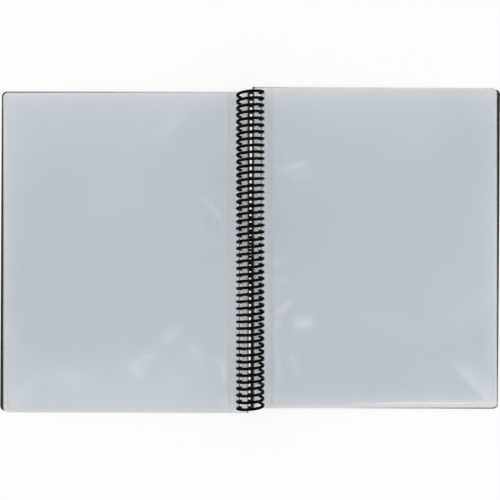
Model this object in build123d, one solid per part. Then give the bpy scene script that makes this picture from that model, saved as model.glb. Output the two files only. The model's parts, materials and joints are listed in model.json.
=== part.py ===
from build123d import *
import math
import os

# Clear pocket display book, lying open at its middle, in millimetres.
# X runs across the open book, Y along the binding towards the pockets' mouths, Z up.
# The origin is on the table under the middle of the binding.

# Binding coil
coil_diameter = 27.4        # outside
wire_diameter = 2.5
coil_pitch = 6.35           # four turns to the inch
coil_turns = 48             # one punched slot per turn
wire_play = 0.1             # room round the wire in a slot
end_bend_radius = 2.5       # the coil's two ends are bent in along the binding
end_tail = 0.6              # straight tip after that bend

# Leaves: two covers, and pockets of two films each
cover_thickness = 0.7
film_thickness = 0.05
pocket_room = 0.11          # between a pocket's two films, for one sheet of paper
leaf_gap = 0.05             # between one leaf and the next
pockets_per_side = 10
pocket_width = 234.9        # inner edge to outer edge
corner_radius = 5.0         # outer corners
cover_wire_angle = 51.0     # degrees below level where the wire passes the cover
pocket_shift = 2.3          # open, right pockets stand this much up the coil, left ones down
cover_extra = 0.8           # a cover's height beyond a pocket's

# How the left (-1) and the right cover (1) lie under their pockets
cover_overhang = {-1: 3.1, 1: 2.6}    # outer edge beyond the top pocket's
cover_shift = {-1: -2.2, 1: 2.8}      # up the coil
cover_turn = {-1: 0.3, 1: 0.4}        # degrees clockwise

# Punched slots, square cornered
binding_margin = 6.65       # inner edge to the wire's centre in its slot
end_margin = 2.1            # end slot to the leaf's end, before the shift

# Pocket welds, and the score line that lets a cover bend
weld_width = 1.5
weld_inset = 4.0            # from the bottom and outer edges
weld_from_slot = 8.0        # binding weld
crease_width = 1.2
crease_depth = 0.25
crease_from_slot = 9.5

# Worked out from these
wire_radius = wire_diameter / 2
coil_radius = coil_diameter / 2 - wire_radius
axis_height = coil_diameter / 2
pitch_per_radian = coil_pitch / (2 * math.pi)
climb = math.atan(pitch_per_radian / coil_radius)
pocket_thickness = 2 * film_thickness + pocket_room
first_angle = -math.pi / 2
last_angle = first_angle + 2 * math.pi * coil_turns
start_y = coil_pitch * coil_turns / 2 + pitch_per_radian * first_angle
coil_axis = Axis((0, 0, axis_height), (0, 1, 0))

# A turning leaf keeps its place along the coil while the wire climbs half a turn past it.
slot_travel = coil_pitch / 2
wire_length_in_slot = wire_diameter / math.cos(climb)

# Depths of the leaves' middles below the coil's axis, cover first, top pocket last
cover_depth = coil_radius * math.sin(math.radians(cover_wire_angle))
first_pocket_depth = cover_depth - cover_thickness / 2 - leaf_gap - pocket_thickness / 2
pocket_depths = [
    first_pocket_depth - step * (pocket_thickness + leaf_gap) for step in range(pockets_per_side)
]


def inner_edge(depth):
    # Distance from the axis of the inner edge of a leaf at this depth.
    return math.sqrt(coil_radius**2 - depth**2) - binding_margin


def slot_bounds(depth, thickness):
    # Distances from the axis of a slot's two walls, in a leaf at this depth.
    low, high = depth + thickness / 2, depth - thickness / 2
    near = math.sqrt((coil_radius - wire_radius - wire_play) ** 2 - low**2)
    far = math.sqrt((coil_radius + wire_radius + wire_play) ** 2 - high**2)
    return near, far


def slot_length(depth, thickness):
    low, high = depth + thickness / 2, depth - thickness / 2
    turn_in_sheet = math.asin(low / coil_radius) - math.asin(high / coil_radius)
    drift = pitch_per_radian * turn_in_sheet
    return slot_travel + wire_length_in_slot + drift + 2 * wire_play


leaf_height = (coil_turns - 1) * coil_pitch + slot_length(cover_depth, cover_thickness) + 2 * end_margin
top_pocket_edge = inner_edge(pocket_depths[-1]) + pocket_width
cover_edge = {side: top_pocket_edge + over for side, over in cover_overhang.items()}
cover_height = leaf_height + cover_extra

# Each half leans on the coil, so that its cover's furthest corner lies on the table.
cover_underside = cover_depth + cover_thickness / 2
corner_arm = cover_height / 2 - corner_radius
cover_corner = max(cover_edge[side] + math.radians(cover_turn[side]) * corner_arm for side in (-1, 1))
reach = math.hypot(cover_corner, cover_underside)
lean = math.asin(axis_height / reach) - math.atan2(cover_underside, cover_corner)


def helix_point(angle):
    return Vector(
        coil_radius * math.cos(angle),
        start_y - pitch_per_radian * angle,
        axis_height + coil_radius * math.sin(angle),
    )


def helix_tangent(angle):
    along = Vector(-coil_radius * math.sin(angle), -pitch_per_radian, coil_radius * math.cos(angle))
    return along.normalized()


def biarc(start, start_tangent, end, end_tangent):
    # Two arcs that leave start and reach end along the given directions.
    chord = end - start
    both = start_tangent + end_tangent
    bend = 2 * (1 - start_tangent.dot(end_tangent))
    across = chord.dot(both)
    handle = (math.sqrt(across**2 + bend * chord.dot(chord)) - across) / bend
    middle = (start + end + (start_tangent - end_tangent) * handle) * 0.5
    middle_tangent = (end - end_tangent * handle) - (start + start_tangent * handle)
    return [
        Edge.make_tangent_arc(start, start_tangent, middle),
        Edge.make_tangent_arc(middle, middle_tangent, end),
    ]


def coil_end(angle, outward, inward):
    # The bent end, from the helix out: an arc that turns along the binding, and its tip.
    start = helix_point(angle)
    arc_end = start + (outward + inward) * end_bend_radius
    arc = Edge.make_tangent_arc(start, outward, arc_end)
    arrival = arc % 1
    return arc, Edge.make_line(arc_end, arc_end + arrival * end_tail)


def coil_path():
    quarter = math.pi / 2
    edges = []
    for step in range(4 * coil_turns):
        a, b = first_angle + step * quarter, first_angle + (step + 1) * quarter
        edges += biarc(helix_point(a), helix_tangent(a), helix_point(b), helix_tangent(b))
    up, down = Vector(0, 1, 0), Vector(0, -1, 0)
    top_arc, top_tail = coil_end(first_angle, -helix_tangent(first_angle), down)
    low_arc, low_tail = coil_end(last_angle, helix_tangent(last_angle), up)
    return [top_tail, top_arc, *edges, low_arc, low_tail]


def least_gap(edges):
    # Centre points of all arcs, compared with those at least half a turn of wire away.
    points = [tuple(edge @ share) for edge in edges for share in (0, 0.25, 0.5, 0.75)]
    apart = 16
    nearest = min(
        math.dist(point, other)
        for number, point in enumerate(points)
        for other in points[number + apart : number + 6 * apart]
    )
    return nearest - wire_diameter


def make_coil():
    edges = coil_path()
    tail = edges[0]
    tip, into = tail @ 1, (tail % 1) * -1
    section = Plane(origin=tip, z_dir=into) * Circle(wire_radius)
    coil = sweep(section, path=Wire(edges)).solid()
    length = sum(edge.length for edge in edges)
    print("coil volume over section times length", coil.volume / (math.pi * wire_radius**2 * length))
    print("coil least gap to itself", round(least_gap(edges), 3))
    return coil


def slot_middles(side, depth):
    # Places along the binding of one leaf's slots, about the wire's half turn of climb.
    turned = side * (math.asin(depth / coil_radius) + lean)
    first = start_y + pitch_per_radian * turned - slot_travel / 2
    return [first - number * coil_pitch for number in range(coil_turns)]


def leaf_outline(side, start, outer_edge, height, middle_y, turn=0):
    # A leaf's outline on the left (side -1) or the right (side 1), with its outer corners rounded.
    outline = Pos(side * (start + outer_edge) / 2) * Rectangle(outer_edge - start, height)
    corners = outline.vertices().sort_by(Axis.X)
    outline = fillet(corners[-2:] if side > 0 else corners[:2], corner_radius)
    return (Pos(0, middle_y) * Rot(0, 0, -turn) * outline).wire()


def sheet(side, outline, depth, thickness, leaf_depth, leaf_thickness):
    # A punched flat sheet of a leaf, before the leaf leans.
    near, far = slot_bounds(leaf_depth, leaf_thickness)
    slot = Rectangle(far - near, slot_length(leaf_depth, leaf_thickness))
    place_x = side * (near + far) / 2
    slots = [
        (Pos(place_x, place_y) * slot).wire() for place_y in slot_middles(side, leaf_depth)
    ]
    face = Face(outline, slots)
    bottom = axis_height - depth - thickness / 2
    return Pos(0, 0, bottom) * Solid.extrude(face, Vector(0, 0, thickness))


def lean_half(shape, side):
    return shape.rotate(coil_axis, side * math.degrees(lean))


def make_cover(side):
    start, middle_y = inner_edge(cover_depth), cover_shift[side]
    outline = leaf_outline(side, start, cover_edge[side], cover_height, middle_y, cover_turn[side])
    cover = sheet(side, outline, cover_depth, cover_thickness, cover_depth, cover_thickness)
    crease_place = slot_bounds(cover_depth, cover_thickness)[1] + crease_from_slot
    underside = axis_height - cover_underside
    groove = Pos(side * crease_place, middle_y, underside) * Box(
        crease_width, 2 * leaf_height, 2 * crease_depth
    )
    return lean_half((cover - groove).solid(), side)


def weld_strips(side, depth, outer_edge):
    # Three welded strips between a pocket's films. The end with the mouth stays open.
    binding = slot_bounds(depth, pocket_thickness)[1] + weld_from_slot
    bottom = side * pocket_shift - leaf_height / 2 + weld_inset
    mouth = side * pocket_shift + leaf_height / 2
    outer = outer_edge - weld_inset - weld_width
    above_bottom = bottom + weld_width
    spans = [
        (binding, binding + weld_width, above_bottom, mouth),
        (outer, outer + weld_width, above_bottom, mouth),
        (binding, outer + weld_width, bottom, above_bottom),
    ]
    strips = []
    for near, far, low, high in spans:
        middle = Pos(side * (near + far) / 2, (low + high) / 2, axis_height - depth)
        strips.append(middle * Box(far - near, high - low, pocket_room).solid())
    return strips


def make_pocket(side, depth):
    # Front and back film. The front film is the lower one on the left, the upper on the right.
    outer_edge = inner_edge(depth) + pocket_width
    outline = leaf_outline(side, inner_edge(depth), outer_edge, leaf_height, side * pocket_shift)
    apart = (film_thickness + pocket_room) / 2
    front, back = [
        sheet(side, outline, film_depth, film_thickness, depth, pocket_thickness)
        for film_depth in (depth - side * apart, depth + side * apart)
    ]
    welds = [lean_half(strip, side) for strip in weld_strips(side, depth, outer_edge)]
    return lean_half(front, side), Compound(children=[lean_half(back, side), *welds])


os.makedirs("parts", exist_ok=True)
nodes = {"binding_coil": make_coil(), "front_cover": make_cover(-1), "back_cover": make_cover(1)}
for layer, layer_depth in enumerate(pocket_depths):
    # The left half counts up from the front cover, the right half down from the back cover.
    for side, number in ((-1, layer + 1), (1, 2 * pockets_per_side - layer)):
        front_film, back_film = make_pocket(side, layer_depth)
        nodes[f"pocket_{number:02d}_front_film"] = front_film
        nodes[f"pocket_{number:02d}_back_film"] = back_film
for name, shape in nodes.items():
    export_step(shape, f"parts/{name}.step")
print("nodes", len(nodes), "leaf height", round(leaf_height, 2), "cover corner", round(cover_corner, 2))
print("lean in degrees", round(math.degrees(lean), 3))
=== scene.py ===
import json
import math

import bpy
import numpy as np
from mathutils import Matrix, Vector


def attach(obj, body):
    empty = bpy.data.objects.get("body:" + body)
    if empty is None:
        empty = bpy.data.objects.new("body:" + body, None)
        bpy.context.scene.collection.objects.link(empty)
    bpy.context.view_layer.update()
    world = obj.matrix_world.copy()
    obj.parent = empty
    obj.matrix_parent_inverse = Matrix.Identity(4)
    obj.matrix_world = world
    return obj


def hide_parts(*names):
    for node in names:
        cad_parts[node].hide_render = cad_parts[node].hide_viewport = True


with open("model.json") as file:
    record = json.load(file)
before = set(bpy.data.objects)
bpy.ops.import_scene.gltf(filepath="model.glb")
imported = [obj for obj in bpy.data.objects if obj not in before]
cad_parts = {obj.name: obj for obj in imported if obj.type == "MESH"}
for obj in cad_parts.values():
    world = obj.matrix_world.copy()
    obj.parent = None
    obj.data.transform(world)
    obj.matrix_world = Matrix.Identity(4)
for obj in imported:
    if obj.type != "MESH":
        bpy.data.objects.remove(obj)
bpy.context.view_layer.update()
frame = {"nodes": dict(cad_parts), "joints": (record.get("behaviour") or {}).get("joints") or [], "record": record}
mm = 0.001

# The open book, with its axis and slope from the frame
book = {
    "perSide": 10,  # pockets on each side
    "axisHeight": frame["joints"][0]["pos_m"][2],
    "lean": math.asin(abs(frame["record"]["mounts"][0]["axis"][0])),  # each half's slope on the table
}
print("book: lean", round(math.degrees(book["lean"]), 3), "degrees")


class Wire:
    # a shader socket on which Python's operators add Math nodes
    def __init__(self, tree, socket=None):
        self.tree = tree
        self.socket = socket

    def node(self, kind, settings=None, sockets=None, out=0):
        made = self.tree.nodes.new(kind)
        for name, value in (settings or {}).items():
            setattr(made, name, value)
        for name, value in (sockets or {}).items():
            target = made.inputs[name]
            if isinstance(value, Wire):
                self.tree.links.new(value.socket, target)
            else:
                target.default_value = value
        return Wire(self.tree, made.outputs[out] if made.outputs else None)

    def maths(self, operation, *values):
        return self.node("ShaderNodeMath", {"operation": operation}, dict(enumerate(values)))

    def __add__(self, other):
        return self.maths("ADD", self, other)

    def __rsub__(self, other):
        return self.maths("SUBTRACT", other, self)

    def __mul__(self, other):
        return self.maths("MULTIPLY", self, other)

    def spread(self, low, high, start=0.0, end=1.0):
        # stretches low to high over start to end, and holds it there
        sockets = {"Value": self, "From Min": low, "From Max": high, "To Min": start, "To Max": end}
        return self.node("ShaderNodeMapRange", {"interpolation_type": "SMOOTHSTEP"}, sockets)

    def noise(self, scale, detail, rough=0.5, distort=0.0):
        sockets = {"Vector": self, "Scale": scale, "Detail": detail}
        sockets |= {"Roughness": rough, "Distortion": distort}
        return self.node("ShaderNodeTexNoise", None, sockets)

    def tint(self, low, high):
        # a colour from low to high as this value goes from 0 to 1
        ends = [end if isinstance(end, Wire) else (*end, 1.0) for end in (low, high)]
        return self.node("ShaderNodeMix", {"data_type": "RGBA"}, {0: self, 6: ends[0], 7: ends[1]}, 2)

    def bump(self, strength, distance):
        sockets = {"Height": self, "Strength": strength, "Distance": distance}
        return self.node("ShaderNodeBump", None, sockets)


def newFinish(name):
    finish = bpy.data.materials.new(name)
    finish.use_nodes = True
    tree = finish.node_tree
    tree.nodes.clear()
    return finish, Wire(tree)


def closeFinish(start, sockets):
    shader = start.node("ShaderNodeBsdfPrincipled", None, sockets)
    start.node("ShaderNodeOutputMaterial", None, {"Surface": shader})


def stretched(place, factors):
    # a direction-stretched copy of the coordinates, for drawn marks
    return place.node("ShaderNodeVectorMath", {"operation": "MULTIPLY"}, {0: place, 1: factors})


# Finishes
coilLook = {
    "black": (0.002, 0.002, 0.0024),
    "rubbed": (0.006, 0.006, 0.0068),
    "gloss": (0.40, 0.55),
    "shine": 0.03,
    "patches": 70.0,       # rubbed patches per metre
    "drawn": 900.0,        # drawn marks per metre
    "stretch": (1.0, 3.0, 1.0),
    "bump": 0.35,
    "ripple": 0.02 * mm,
}


def coilPlastic():
    finish, start = newFinish("coilPlastic")
    place = start.node("ShaderNodeTexCoord", out="Object")
    rub = place.noise(coilLook["patches"], 4.0, 0.6).spread(0.46, 0.68)
    drawn = stretched(place, coilLook["stretch"]).noise(coilLook["drawn"], 2.0)
    low, high = coilLook["gloss"]
    closeFinish(start, {
        "Base Color": rub.tint(coilLook["black"], coilLook["rubbed"]),
        "Roughness": drawn.spread(0.3, 0.7, low, high),
        "Normal": drawn.bump(coilLook["bump"], coilLook["ripple"]),
        "Specular IOR Level": coilLook["shine"],
    })
    return finish


coverLook = {
    "black": (0.006, 0.006, 0.0065),
    "scuffed": (0.022, 0.022, 0.024),
    "gloss": (0.42, 0.58),
    "shine": 0.35,
    "scuffs": 38.0,        # scuffs per metre
    "grain": 2600.0,       # pebbles per metre
    "finer": 2.2,          # times as many in the fine grain
    "bump": 0.5,
    "grainDepth": 0.05 * mm,
}


def coverPlastic():
    finish, start = newFinish("coverPlastic")
    place = start.node("ShaderNodeTexCoord", out="Object")
    pebbles = place.node("ShaderNodeTexVoronoi", None, {"Vector": place, "Scale": coverLook["grain"]})
    fine = place.noise(coverLook["grain"] * coverLook["finer"], 3.0, 0.6)
    grain = pebbles.spread(0.05, 0.6) * 0.7 + fine * 0.3
    scuff = place.noise(coverLook["scuffs"], 6.0, 0.72, 0.4).spread(0.58, 0.80)
    low, high = coverLook["gloss"]
    closeFinish(start, {
        "Base Color": (scuff * 0.8).tint(coverLook["black"], coverLook["scuffed"]),
        "Roughness": (grain * 0.6 + scuff * 0.4).spread(0.1, 0.9, low, high),
        "Normal": grain.bump(coverLook["bump"], coverLook["grainDepth"]),
        "Specular IOR Level": coverLook["shine"],
    })
    return finish


filmLook = {
    "clear": (0.498, 0.544, 0.588),
    # the pale end: paler edges, painted light beside the binding and painted highlights on creases
    "paleAndPaintedLight": (0.90, 0.945, 0.985),
    "rim": (0.76, 0.74, 0.73),
    "haze": (0.09, 0.12),     # how much of one face of the film shows
    "creaseHighlightAlpha": 0.29,       # and how much more on a crease, so that its painted highlight shows
    "gloss": (0.13, 0.26),
    "clouds": 7.0,            # broad clouds, drawn lines and pulled dents per metre
    "lines": 160.0,
    "stretch": (1.0, 0.12, 1.0),
    "dents": 22.0,
    "mottle": 0.058,          # how much milkier a cloud is
    "bump": 0.4,
    "ripple": 0.10 * mm,
    "index": 1.49,            # of refraction, also for the welds
}


def clearFilm():
    finish, start = newFinish("clearFilm")
    place = start.node("ShaderNodeTexCoord", out="Object")
    paleAndLitShare = start.node("ShaderNodeAttribute", {"attribute_name": "paleAndPaintedLight"}, out="Fac")
    rim = start.node("ShaderNodeAttribute", {"attribute_name": "rim"}, out="Fac")
    crease = start.node("ShaderNodeAttribute", {"attribute_name": "crease"}, out="Fac")
    broad = place.noise(filmLook["clouds"], 1.0)
    drawn = stretched(place, filmLook["stretch"]).noise(filmLook["lines"], 1.0)
    pulled = place.noise(filmLook["dents"], 1.0)
    low, high = filmLook["gloss"]
    thin, thick = filmLook["haze"]
    # paler towards the edges, painted light beside the binding, painted highlights on creases, and milkier clouds
    paleTintShare = paleAndLitShare + broad.spread(0.3, 0.8) * filmLook["mottle"]
    sheet = paleTintShare.tint(filmLook["clear"], filmLook["paleAndPaintedLight"])
    haze = (broad * 0.6 + drawn * 0.4).spread(0.3, 0.7, thin, thick)
    closeFinish(start, {
        "Base Color": rim.tint(sheet, filmLook["rim"]),
        "Roughness": drawn.spread(0.3, 0.75, low, high),
        "Alpha": haze + crease * filmLook["creaseHighlightAlpha"],
        "Normal": (pulled * 0.85 + drawn * 0.15).bump(filmLook["bump"], filmLook["ripple"]),
        "IOR": filmLook["index"],
    })
    return finish


weldLook = {
    "white": (0.615, 0.64, 0.675),
    "clear": (0.45, 0.495, 0.54),
    "haze": (0.10, 0.30),
    "gloss": 0.32,
    "patches": 120.0,      # whiter patches per metre
    "teeth": 1100.0,       # embossed teeth per metre
    "bump": 0.4,
    "teethDepth": 0.03 * mm,
}


def weldedFilm():
    finish, start = newFinish("weldedFilm")
    place = start.node("ShaderNodeTexCoord", out="Object")
    turn = {"Vector": place, "Angle": math.pi / 4}
    turned = place.node("ShaderNodeVectorRotate", {"rotation_type": "Z_AXIS"}, turn)
    teeth = turned.node("ShaderNodeTexChecker", None, {"Vector": turned, "Scale": weldLook["teeth"]}, 1)
    patch = place.noise(weldLook["patches"], 1.0)
    low, high = weldLook["haze"]
    closeFinish(start, {
        "Base Color": patch.tint(weldLook["clear"], weldLook["white"]),
        "Roughness": weldLook["gloss"],
        "Alpha": (teeth * 0.5 + patch * 0.5).spread(0.2, 0.8, low, high),
        "Normal": teeth.bump(weldLook["bump"], weldLook["teethDepth"]),
        "IOR": filmLook["index"],
    })
    return finish


finishes = {make.__name__: make() for make in (coilPlastic, coverPlastic, clearFilm, weldedFilm)}
print("finishes:", ", ".join(finishes))


edgeAngle = 0.7  # radians, above which an edge is sharp


def meshPiece(name, points, faces, body, nodes, finish):
    data = bpy.data.meshes.new(name)
    data.from_pydata([tuple(p) for p in points], [], [tuple(f) for f in faces])
    data.validate()
    for polygon in data.polygons:
        polygon.use_smooth = True
    data.set_sharp_from_angle(angle=edgeAngle)
    piece = bpy.data.objects.new(name, data)
    bpy.context.scene.collection.objects.link(piece)
    for each in finish:
        data.materials.append(finishes[each])
    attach(piece, body)
    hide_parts(*nodes)
    return piece


# Binding coil: one round plastic wire, wound, with both ends bent in along the binding
coil = {
    "turns": 48,
    "pitch": 6.35 * mm,
    "outside": 27.4 * mm,
    "wire": 2.8 * mm,
    "bend": 2.5 * mm,
    "tail": 0.6 * mm,
    "tipLength": 0.02,     # in wire diameters
    "tipSize": 0.82,
    "stepsPerTurn": 40,
    "bendSteps": 9,
    "tailSteps": 4,
    "sides": 16,
}


def coilLine():
    radius = (coil["outside"] - coil["wire"]) / 2
    rise = coil["pitch"] / (2 * math.pi)
    first = -math.pi / 2
    last = first + 2 * math.pi * coil["turns"]
    startY = coil["pitch"] * coil["turns"] / 2 + rise * first
    angles = np.linspace(first, last, coil["turns"] * coil["stepsPerTurn"] + 1)
    wound = np.stack([
        radius * np.cos(angles),
        startY - rise * angles,
        book["axisHeight"] + radius * np.sin(angles),
    ], 1)
    onward = np.array([radius, -rise, 0.0]) / math.hypot(radius, rise)  # both ends are at the coil's foot
    topEnd = bentEnd(wound[0], -onward, np.array([0.0, -1.0, 0.0]))
    lowEnd = bentEnd(wound[-1], onward, np.array([0.0, 1.0, 0.0]))
    return np.concatenate([topEnd[::-1], wound, lowEnd])


def bentEnd(start, outward, inward):
    side = inward - outward * (inward @ outward)
    side = side / np.linalg.norm(side)
    turn = np.linspace(0, math.pi / 2, coil["bendSteps"])[1:, None]
    arc = start + coil["bend"] * (np.sin(turn) * outward + (1 - np.cos(turn)) * side)
    tail = arc[-1] + side * coil["tail"] * np.linspace(0, 1, coil["tailSteps"])[1:, None]
    tip = tail[-1] + side * coil["wire"] * coil["tipLength"]
    return np.concatenate([arc, tail, tip[None]])


def roundTube(line, radius, sides):
    # rings square to the line, carried along it without twist, with softened tips
    ahead = np.gradient(line, axis=0)
    ahead /= np.linalg.norm(ahead, axis=1)[:, None]
    across = np.cross(ahead[0], (0.0, 0.0, 1.0))
    across /= np.linalg.norm(across)
    phase = np.linspace(0, 2 * math.pi, sides, endpoint=False)
    rings = []
    for number, (point, way) in enumerate(zip(line, ahead)):
        across = across - way * (across @ way)
        across /= np.linalg.norm(across)
        other = np.cross(way, across)
        size = radius * (coil["tipSize"] if number in (0, len(line) - 1) else 1.0)
        ring = point + size * (np.cos(phase)[:, None] * across + np.sin(phase)[:, None] * other)
        rings.append(ring)
    points = np.concatenate([*rings, line[:1], line[-1:]])
    faces = []
    for ring in range(len(line) - 1):
        for side in range(sides):
            a, b = ring * sides + side, ring * sides + (side + 1) % sides
            faces.append((a, b, b + sides, a + sides))
    firstCap, lastCap = len(line) * sides, len(line) * sides + 1
    lastRing = (len(line) - 1) * sides
    for side in range(sides):
        after = (side + 1) % sides
        faces.append((after, side, firstCap))
        faces.append((lastRing + side, lastRing + after, lastCap))
    return points, faces


def makeCoil():
    points, faces = roundTube(coilLine(), coil["wire"] / 2, coil["sides"])
    nodes = ["binding_coil"]
    meshPiece("binding_coil_wound", points, faces, "binding", nodes, ["coilPlastic"])
    print("coil:", len(faces), "faces")


# Covers keep the frame's own sheets, in grained black plastic
def dressCovers():
    for name in ("front_cover", "back_cover"):
        sheet = frame["nodes"][name]
        sheet.data.materials.clear()
        sheet.data.materials.append(finishes["coverPlastic"])
    print("covers: dressed")


# Pockets: two films each, welded along three sides
pocket = {
    "weldWidth": 1.5 * mm,
    "weldInset": 4.0 * mm,       # from the bottom and outer edges
    "weldFromSlot": 8.0 * mm,
    "weldDip": 0.03 * mm,        # how far a weld draws each film in
    "weldRamp": 0.5 * mm,
    "skin": 0.01 * mm,           # weld strips stay this clear of the films
    "weldStep": 4.0 * mm,
    "punched": (1.0 * mm, 12.0 * mm),    # the slots lie in this zone from the inner edge
    "sameLine": 0.02 * mm,               # points of a slot's end are this close
    "slotRoom": (0.28 * mm, 0.06 * mm),  # slots are wider towards the binding, longer at each end
    "drawnIn": {-1: (0.35 * mm, 0.0), 1: (0.1 * mm, 0.5 * mm)},  # outer edge, at the bottom and the mouth
    "bared": {-1: 0.6 * mm, 1: 1.7 * mm},  # inner edge, which bares the cover beside the coil's gap
    "corner": 5.0 * mm,
    "cornerSteps": 7,
    "edgeStep": 1.2 * mm,        # grid step along the outer edge
    "clearOfSlots": 0.12 * mm,   # extra grid lines keep this far from a slot's end
    "closest": 0.05 * mm,        # and from each other
    "coarse": 9.0 * mm,          # grid step of a film low in the stack
    "fine": (3.2 * mm, 1.75 * mm),  # and of the lower and upper film of the pockets on top
    "lift": 0.9 * mm,            # slack of the top film
    "curl": 0.7 * mm,            # its outer edge and mouth
    "creaseFade": 3,             # power by which the lower film is less creased
}

# Creases in the top pockets, in mm: from (out, along) to (out, along), width, height, and how much
# sharper they fall off on the left of that run than on the right
creases = {
    -1: [
        ((50, 57), (34, 38), 3.4, 0.11, 1),
        ((38, 46), (27, 25), 2.8, 0.13, 1),
        ((119, -106), (103, -125), 4.2, 0.15, 1),
        ((112, -112), (98, -102), 7.0, 0.08, 1),
        ((102, -104), (91, -97), 5.0, 0.12, 1),
        ((86, -90), (68, -74), 4.4, 0.14, 1),
        ((60, -92), (44, -106), 6.0, 0.11, 1),
        ((41, -104), (27, -109), 2.4, 0.15, 1),
        ((29, -107), (22, -127), 2.4, 0.24, 1),
        ((24, -143), (22, -150), 2.4, 0.18, 1),
        ((34, -118), (90, -130), 6.0, 0.06, 1),
        ((24, 4), (60, 22), 4.0, 0.08, 1),
        ((60, 142), (96, 96), 7.0, 0.08, 1),
        ((231, -144), (203, -120), 3.0, 0.12, 1),
        ((150, -130), (215, -112), 9.0, 0.08, 1),
    ],
    1: [
        ((24, 74), (60, 87), 4.0, 0.14, 1),
        ((36, 69), (62, 74), 3.4, 0.10, 1),
        ((22, -15), (34, -6), 2.4, 0.15, 1),
        ((24, -34), (38, -28), 2.4, 0.12, 1),
        ((22, -62), (41, -48), 3.2, 0.17, 1),
        ((22, -70), (31, -73), 3.4, 0.17, 1),
        ((42, -73), (62, -67), 5.0, 0.14, 1),
        ((40, -62), (56, -76), 7.0, 0.06, 1),
        ((36, -100), (46, -104), 3.0, 0.11, 1),
        ((26, -88), (28, -130), 2.6, 0.12, 1),
        ((24, -138), (26, -144), 2.4, 0.14, 1),
        ((34, -104), (52, -122), 3.0, 0.08, 1),
        ((110, -60), (150, -76), 6.0, 0.06, 1),
        ((238, -153), (194, -109), 14.0, 0.145, 7),
        ((184, -66), (240, -40), 16.0, 0.05, 6),
        ((96, -147.5), (244, -147.5), 1.4, 0.34, 1),
    ],
}
creaseShape = {"fadeIn": (-0.15, 0.3), "fadeOut": (0.7, 1.15), "fall": 1.4}  # along it, and across it

# Slack: how far from the slots it starts and is full, and its two waves, each with a length, a turn
# along the binding, a start and a share
slackShape = {
    "free": (12 * mm, 70 * mm),
    "roll": (31 * mm, 5.2, 0.6, 0.55),
    "sway": (52 * mm, 7.4, 1.9, 0.45),
    "curlWidth": 24 * mm,
    "curlMouth": 0.93,     # share of the height at which the mouth starts to curl
}


def smooth(value, low, high):
    share = np.clip((value - low) / (high - low), 0, 1)
    return share * share * (3 - 2 * share)


def flatSheet(node, side):
    # a film of the frame laid flat: out from the binding, along it, and height over the coil's axis
    data = frame["nodes"][node].data
    spots = np.zeros(len(data.vertices) * 3)
    data.vertices.foreach_get("co", spots)
    x, y, z = spots.reshape(-1, 3).T
    turn = side * book["lean"]
    z = z - book["axisHeight"]
    flatX = x * math.cos(turn) - z * math.sin(turn)
    flatZ = x * math.sin(turn) + z * math.cos(turn)
    return flatX * side, y, flatZ


def filmPlan(node, side):
    # one punched film: its edges, its slots and its two faces' heights
    out, along, height = flatSheet(node, side)
    start, end = pocket["punched"]
    punched = (out > out.min() + start) & (out < out.min() + end)
    ends = np.unique(np.round(along[punched], 7))
    ends = ends[np.r_[True, np.diff(ends) > pocket["sameLine"]]]
    wider, longer = pocket["slotRoom"]
    ends = ends + longer * np.where(np.arange(len(ends)) % 2, 1, -1)
    return {
        "inner": out.min() + pocket["bared"][side],
        "outer": out.max(),
        "near": out[punched].min() - wider,
        "far": out[punched].max(),
        "bottom": along.min(),
        "mouth": along.max(),
        "slotEnds": ends,
        "low": height.min(),
        "high": height.max(),
    }


def slack(out, along, plan, side):
    # broad lift of a loose film, in metres, never below 0
    start, full = slackShape["free"]
    free = smooth(out, plan["far"] + start, plan["far"] + full)
    share = (along - plan["bottom"]) / (plan["mouth"] - plan["bottom"])
    rollLength, rollTurn, rollStart, rollShare = slackShape["roll"]
    swayLength, swayTurn, swayStart, swayShare = slackShape["sway"]
    roll = 0.5 + 0.5 * np.sin(out / rollLength + side * rollTurn * share + rollStart)
    sway = 0.5 + 0.5 * np.sin(out / swayLength - swayTurn * share + swayStart * side)
    curl = smooth(out, plan["outer"] - slackShape["curlWidth"], plan["outer"]) ** 2
    curl = curl + smooth(share, slackShape["curlMouth"], 1.0) ** 2
    waves = rollShare * roll + swayShare * sway
    return free * pocket["lift"] * waves + free * pocket["curl"] * curl


def creaseLift(out, along, side):
    total = np.zeros_like(out)
    for start, end, width, height, sharp in creases[side]:
        a, b = np.array(start) * mm, np.array(end) * mm
        run = b - a
        length = np.linalg.norm(run)
        way = run / length
        t = ((out - a[0]) * way[0] + (along - a[1]) * way[1]) / length
        off = (out - a[0]) * way[1] - (along - a[1]) * way[0]
        off = np.where(off < 0, off * sharp, off)
        taper = smooth(t, *creaseShape["fadeIn"]) * (1 - smooth(t, *creaseShape["fadeOut"]))
        ridge = np.exp(-np.abs(off / (width * mm)) ** creaseShape["fall"])
        total += height * mm * taper * ridge
    return total


# How much paler a left (-1) or right (1) film is towards its edges: the share there, and how far in it fades. Next
# to the binding this is painted light, set against the coil's shade on the films
paleEdgesAndBindingLight = {
    -1: {
        "outer": (0.13, 10.0 * mm),
        "mouth": (0.21, 30.0 * mm),
        "bottom": (0.23, 45.0 * mm),
        # painted light beside the coil, which lifts its shade
        "binding": (1.0, 7.0 * mm),
    },
    1: {
        "outer": (0.13, 8.0 * mm),
        "mouth": (0.21, 30.0 * mm),
        "bottom": (0.30, 10.0 * mm),
        # painted light beside the coil, which lifts its shade
        "binding": (1.0, 7.0 * mm),
    },
}
marginLight = 0.68                # what is left of that painted light between the slots and the binding weld
creaseHighlight = 0.82 / (0.30 * mm)  # share of painted highlight for each metre that a crease stands up
creaseMost = 0.9

# How pale its rims are, in the same way
rims = {"outer": (0.60, 3.0 * mm), "mouth": (0.55, 4.0 * mm), "bottom": (0.50, 2.5 * mm)}


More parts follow.
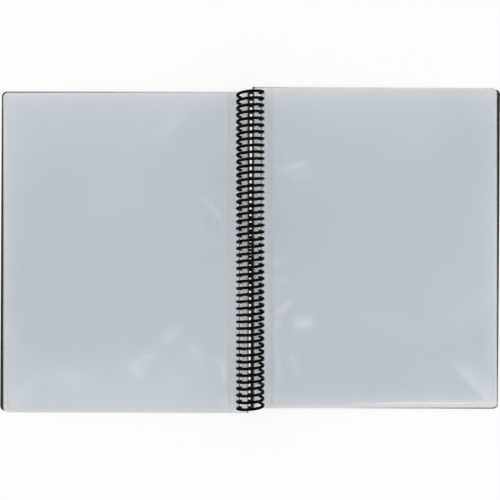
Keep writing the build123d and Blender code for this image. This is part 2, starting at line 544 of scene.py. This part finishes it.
def fadeFrom(edges, out, along, plan):
    away = {
        "outer": plan["outer"] - out,
        "mouth": plan["mouth"] - along,
        "bottom": along - plan["bottom"],
        "binding": out - plan["far"],
    }
    clear = np.ones_like(out)
    for edge, distance in away.items():
        if edge in edges:
            share, fade = edges[edge]
            clear *= 1 - share * np.exp(-np.maximum(distance, 0) / fade)
    return 1 - clear


def filmMarks(out, along, plan, lift, side):
    # how pale the film is at each point, with painted light beside the binding and painted highlights on its
    # creases; how pale at the rim; and how creased
    crease = np.clip(lift * creaseHighlight, 0, creaseMost)
    inMargin = (out > plan["far"]) & (out < weldPlaces(plan)[0])
    paleAndLitShare = fadeFrom(paleEdgesAndBindingLight[side], out, along, plan) * np.where(inMargin, marginLight, 1.0)
    paleAndLitShare = 1 - (1 - paleAndLitShare) * (1 - crease)
    return np.stack([paleAndLitShare, fadeFrom(rims, out, along, plan), crease])


def weldPlaces(plan):
    binding = plan["far"] + pocket["weldFromSlot"]
    outer = plan["outer"] - pocket["weldInset"] - pocket["weldWidth"]
    bottom = plan["bottom"] + pocket["weldInset"]
    return binding, outer, bottom


def weldDraw(out, along, plan):
    # 1 on a weld, 0 away from it
    width, ramp = pocket["weldWidth"], pocket["weldRamp"]

    def band(value, start):
        end = start + width
        return smooth(value, start - ramp, start) * (1 - smooth(value, end, end + ramp))

    binding, outer, bottom = weldPlaces(plan)
    inside = smooth(out, binding - ramp, binding) * (1 - smooth(out, outer + width, outer + width + ramp))
    above = smooth(along, bottom - ramp, bottom)
    upright = np.maximum(band(out, binding), band(out, outer))
    return np.maximum(above * upright, inside * band(along, bottom))


def evenly(low, high, step):
    count = max(1, int(round((high - low) / step)))
    return list(np.linspace(low, high, count + 1))


def gridLines(plan, step):
    ramp, width = pocket["weldRamp"], pocket["weldWidth"]
    binding, outer, bottom = weldPlaces(plan)
    outLines = [plan["inner"], plan["near"], plan["far"]]
    outLines += evenly(plan["far"], binding - ramp, step)[1:]
    outLines += [binding, binding + width]
    outLines += evenly(binding + width + ramp, outer - ramp, step)
    outLines += [outer, outer + width, outer + width + ramp]
    outLines += evenly(outer + width + ramp, plan["outer"], pocket["edgeStep"])[1:]
    ends = plan["slotEnds"]
    alongLines = []
    for low, high in zip(ends[:-1], ends[1:]):
        alongLines += evenly(low, high, step)[:-1]
    alongLines.append(ends[-1])
    turns = np.linspace(0, math.pi / 2, pocket["cornerSteps"])
    rounding = [pocket["corner"] * (1 - math.cos(turn)) for turn in turns]
    extra = [plan["bottom"] + rise for rise in rounding] + [plan["mouth"] - rise for rise in rounding]
    extra += [bottom - ramp, bottom, bottom + width, bottom + width + ramp]
    extra = [place for place in extra if min(abs(ends - place)) > pocket["clearOfSlots"]]
    kept = sorted([*alongLines, *extra])
    spaced = [kept[0]]
    for place in kept[1:]:
        if place - spaced[-1] > pocket["closest"]:
            spaced.append(place)
    return np.array(outLines), np.array(spaced)


def roundedOut(out, along, plan, side):
    # draws the outermost columns in to follow the rounded outer corners
    corner = pocket["corner"]
    toEnd = np.minimum(along - plan["bottom"], plan["mouth"] - along)
    drop = corner - np.sqrt(np.clip(corner**2 - np.clip(corner - toEnd, 0, corner) ** 2, 0, None))
    zone = plan["outer"] - corner - pocket["edgeStep"]
    share = np.clip((out - zone) / (plan["outer"] - zone), 0, 1)
    atBottom, atMouth = pocket["drawnIn"][side]
    up = (along - plan["bottom"]) / (plan["mouth"] - plan["bottom"])
    return out - share * (drop + atBottom + (atMouth - atBottom) * up)


def leaned(out, along, height, side):
    turn = side * book["lean"]
    x = out * side
    return np.stack([
        x * math.cos(turn) + height * math.sin(turn),
        along,
        book["axisHeight"] - x * math.sin(turn) + height * math.cos(turn),
    ], -1)


def filmMesh(plan, side, share, creased, drawn, step):
    # a closed thin sheet with its punched slots; drawn is 1 where welds pull the film up, -1 down
    outLines, alongLines = gridLines(plan, step)
    out, along = np.meshgrid(outLines, alongLines, indexing="ij")
    place = roundedOut(out, along, plan, side)
    crease = creased * creaseLift(place, along, side)
    lift = share * slack(place, along, plan, side) + crease
    lift = lift + drawn * pocket["weldDip"] * weldDraw(place, along, plan)
    lower = leaned(place, along, plan["low"] + lift, side)
    upper = leaned(place, along, plan["high"] + lift, side)
    points = np.concatenate([lower.reshape(-1, 3), upper.reshape(-1, 3)])
    rows, columns = out.shape
    middles = (alongLines[:-1] + alongLines[1:]) / 2
    inSlot = np.searchsorted(plan["slotEnds"], middles) % 2 == 1
    cells = np.ones((rows - 1, columns - 1), bool)
    cells[1, inSlot] = False  # between the slots' near and far walls
    marks = filmMarks(place, along, plan, crease, side).reshape(3, -1)
    return points, sheetFaces(cells, side), np.tile(marks, 2)


def sheetFaces(cells, side):
    rows, columns = cells.shape[0] + 1, cells.shape[1] + 1
    number = np.arange(rows * columns).reshape(rows, columns)
    a, b, c, d = number[:-1, :-1], number[1:, :-1], number[1:, 1:], number[:-1, 1:]
    quads = np.stack([a, b, c, d], -1)[cells]
    top = quads + rows * columns
    faces = [*map(tuple, top), *map(tuple, quads[:, ::-1])]
    padded = np.pad(cells, 1)
    borders = [
        (cells & ~padded[:-2, 1:-1], a, d),   # towards the binding
        (cells & ~padded[2:, 1:-1], c, b),    # towards the outer edge
        (cells & ~padded[1:-1, :-2], b, a),
        (cells & ~padded[1:-1, 2:], d, c),
    ]
    for bare, first, second in borders:
        here, there = first[bare], second[bare]
        rim = np.stack([here, there, there + rows * columns, here + rows * columns], -1)
        faces += list(map(tuple, rim))
    return faces if side > 0 else [face[::-1] for face in faces]


def weldMesh(plans, shares, creased, side):
    # three strips between the films, following them
    low, high = plans
    binding, outer, bottom = weldPlaces(low)
    width = pocket["weldWidth"]
    above = bottom + width
    spans = [
        (binding, binding + width, above, low["mouth"]),
        (outer, outer + width, above, low["mouth"]),
        (binding, outer + width, bottom, above),
    ]
    points, faces, count = [], [], 0
    for outLow, outHigh, alongLow, alongHigh in spans:
        outLines = np.array(evenly(outLow, outHigh, pocket["weldStep"]))
        alongLines = np.array(evenly(alongLow, alongHigh, pocket["weldStep"]))
        out, along = np.meshgrid(outLines, alongLines, indexing="ij")
        loose = slack(out, along, low, side)
        crease = creaseLift(out, along, side)
        floor = low["high"] + shares[0] * loose + creased[0] * crease + pocket["weldDip"] + pocket["skin"]
        roof = high["low"] + shares[1] * loose + creased[1] * crease - pocket["weldDip"] - pocket["skin"]
        sheets = [leaned(out, along, floor, side), leaned(out, along, roof, side)]
        points += [sheet.reshape(-1, 3) for sheet in sheets]
        cells = np.ones((len(outLines) - 1, len(alongLines) - 1), bool)
        faces += [tuple(i + count for i in face) for face in sheetFaces(cells, side)]
        count += 2 * out.size
    return np.concatenate(points), faces


def makePocket(number):
    onLeft = number <= book["perSide"]
    side = -1 if onLeft else 1
    layer = number - 1 if onLeft else 2 * book["perSide"] - number
    name = f"pocket_{number:02d}"
    lowerFilm, upperFilm = ("front", "back") if onLeft else ("back", "front")
    onTop = layer == book["perSide"] - 1
    steps = pocket["fine"] if onTop else [pocket["coarse"]] * 2
    plans = [filmPlan(f"{name}_{film}_film", side) for film in (lowerFilm, upperFilm)]
    levels = 2 * book["perSide"]
    shares = [(2 * layer + film + 1) / levels for film in (0, 1)]
    # an upper film is lifted more, so films never cross
    creased = [share ** pocket["creaseFade"] if onTop else 0.0 for share in shares]
    points, faces, marks, count = [], [], [], 0
    for plan, share, crease, drawn, step in zip(plans, shares, creased, (1, -1), steps):
        filmPoints, filmFaces, filmLooks = filmMesh(plan, side, share, crease, drawn, step)
        points.append(filmPoints)
        marks.append(filmLooks)
        faces += [tuple(i + count for i in face) for face in filmFaces]
        count += len(filmPoints)
    filmCount = len(faces)
    weldPoints, weldFaces = weldMesh(plans, shares, creased, side)
    points.append(weldPoints)
    marks.append(np.zeros((3, len(weldPoints))))
    faces += [tuple(i + count for i in face) for face in weldFaces]
    nodes = [f"{name}_front_film", f"{name}_back_film"]
    looks = ["clearFilm", "weldedFilm"]
    piece = meshPiece(f"clear_{name}", np.concatenate(points), faces, name, nodes, looks)
    for polygon in piece.data.polygons[filmCount:]:
        polygon.material_index = 1
    for layerName, values in zip(("paleAndPaintedLight", "rim", "crease"), np.concatenate(marks, 1)):
        piece.data.attributes.new(layerName, "FLOAT", "POINT").data.foreach_set("value", values)
    piece.visible_shadow = False  # clear film lets the light through to the films under it
    piece.visible_diffuse = False


# Table, light and camera
stage = {
    "floor": 3.0,          # half its size
    "floorDrop": 0.2 * mm,  # under the covers' edges
    "floorTone": 0.93,
    "floorWhite": 0.80,    # how much of it shows as plain white
    "gapShade": 0.35,      # and how much less under the leaves beside the coil's gap
    "shadeFrom": (1.4 * mm, 2.4 * mm),  # out from the middle
    "shadeTo": (13 * mm, 20 * mm),
    "shadeEnds": (140 * mm, 150 * mm),  # along the binding
    "sky": 0.78,
    "backdrop": 1.0,
    "sensor": 36.0,        # mm
    "cameraHeight": 0.760,
    "cameraFoot": (-0.00025, 0.0002),
    "focus": 783.5 / 500,  # focal length in image widths
}
lamps = [
    # name, place, size, watts
    ("keyLamp", (-1.35, 1.15, 1.35), 1.1, 8.0),
    ("fillLamp", (1.50, -0.45, 1.35), 1.2, 5.2),
    ("farLamp", (0.2, -1.6, 1.2), 0.9, 3.3),
]


def seenRays(start):
    # 1 for a ray that shows the backdrop: straight on, in a gloss or through clear film
    path = start.node("ShaderNodeLightPath", out="Is Camera Ray")
    outputs = path.socket.node.outputs
    for name in ("Is Glossy Ray", "Is Transmission Ray"):
        path = path.maths("MAXIMUM", path, Wire(start.tree, outputs[name]))
    return path


def makeFloor():
    half = stage["floor"]
    data = bpy.data.meshes.new("tableTop")
    corners = [(-half, -half, 0), (half, -half, 0), (half, half, 0), (-half, half, 0)]
    data.from_pydata(corners, [], [(0, 1, 2, 3)])
    table = bpy.data.objects.new("tableTop", data)
    bpy.context.scene.collection.objects.link(table)
    table.location.z = -stage["floorDrop"]
    finish, start = newFinish("paleTable")
    tone = stage["floorTone"]
    paper = start.node("ShaderNodeBsdfDiffuse", None, {"Color": (tone, tone, tone, 1.0)})
    white = start.node("ShaderNodeEmission", None, {"Strength": stage["backdrop"]})
    place = start.node("ShaderNodeTexCoord", out="Object")
    across = start.node("ShaderNodeSeparateXYZ", None, {0: place})
    upward = start.node("ShaderNodeSeparateXYZ", None, {0: place}, "Y")
    away, along = [way.maths("ABSOLUTE", way) for way in (across, upward)]
    beside = away.spread(*stage["shadeFrom"]) * (1 - away.spread(*stage["shadeTo"]))
    shade = beside * (1 - along.spread(*stage["shadeEnds"]))
    shown = seenRays(start) * (stage["floorWhite"] - shade * stage["gapShade"])
    mixed = start.node("ShaderNodeMixShader", None, {0: shown, 1: paper, 2: white})
    start.node("ShaderNodeOutputMaterial", None, {"Surface": mixed})
    data.materials.append(finish)


def makeLight():
    world = bpy.data.worlds.new("studioAir")
    world.use_nodes = True
    world.node_tree.nodes.clear()
    start = Wire(world.node_tree)
    white = (1.0, 1.0, 1.0, 1.0)
    light = start.node("ShaderNodeBackground", None, {"Color": white, "Strength": stage["sky"]})
    backdrop = start.node("ShaderNodeBackground", None, {"Color": white, "Strength": stage["backdrop"]})
    sky = start.node("ShaderNodeMixShader", None, {0: seenRays(start), 1: light, 2: backdrop})
    start.node("ShaderNodeOutputWorld", None, {"Surface": sky})
    bpy.context.scene.world = world
    for name, place, size, power in lamps:
        lamp = bpy.data.lights.new(name, "AREA")
        lamp.size = size
        lamp.energy = power
        holder = bpy.data.objects.new(name, lamp)
        holder.location = place
        holder.rotation_euler = (-Vector(place)).to_track_quat("-Z", "Y").to_euler()
        holder.visible_glossy = name != "fillLamp"  # no glare on the right page
        bpy.context.scene.collection.objects.link(holder)


def makeCamera():
    lens = bpy.data.cameras.new("overhead")
    lens.sensor_width = stage["sensor"]
    lens.lens = lens.sensor_width * stage["focus"]
    holder = bpy.data.objects.new("overhead", lens)
    holder.location = (*stage["cameraFoot"], stage["cameraHeight"])
    bpy.context.scene.collection.objects.link(holder)
    bpy.context.scene.camera = holder


makeCoil()
dressCovers()
for number in range(1, 2 * book["perSide"] + 1):
    makePocket(number)
print("pockets:", 2 * book["perSide"])
makeFloor()
makeLight()
makeCamera()
bpy.context.scene.view_settings.view_transform = "Standard"
bpy.context.scene.cycles.transparent_max_bounces = 96  # a ray goes through every film of a stack
print("stage: set")
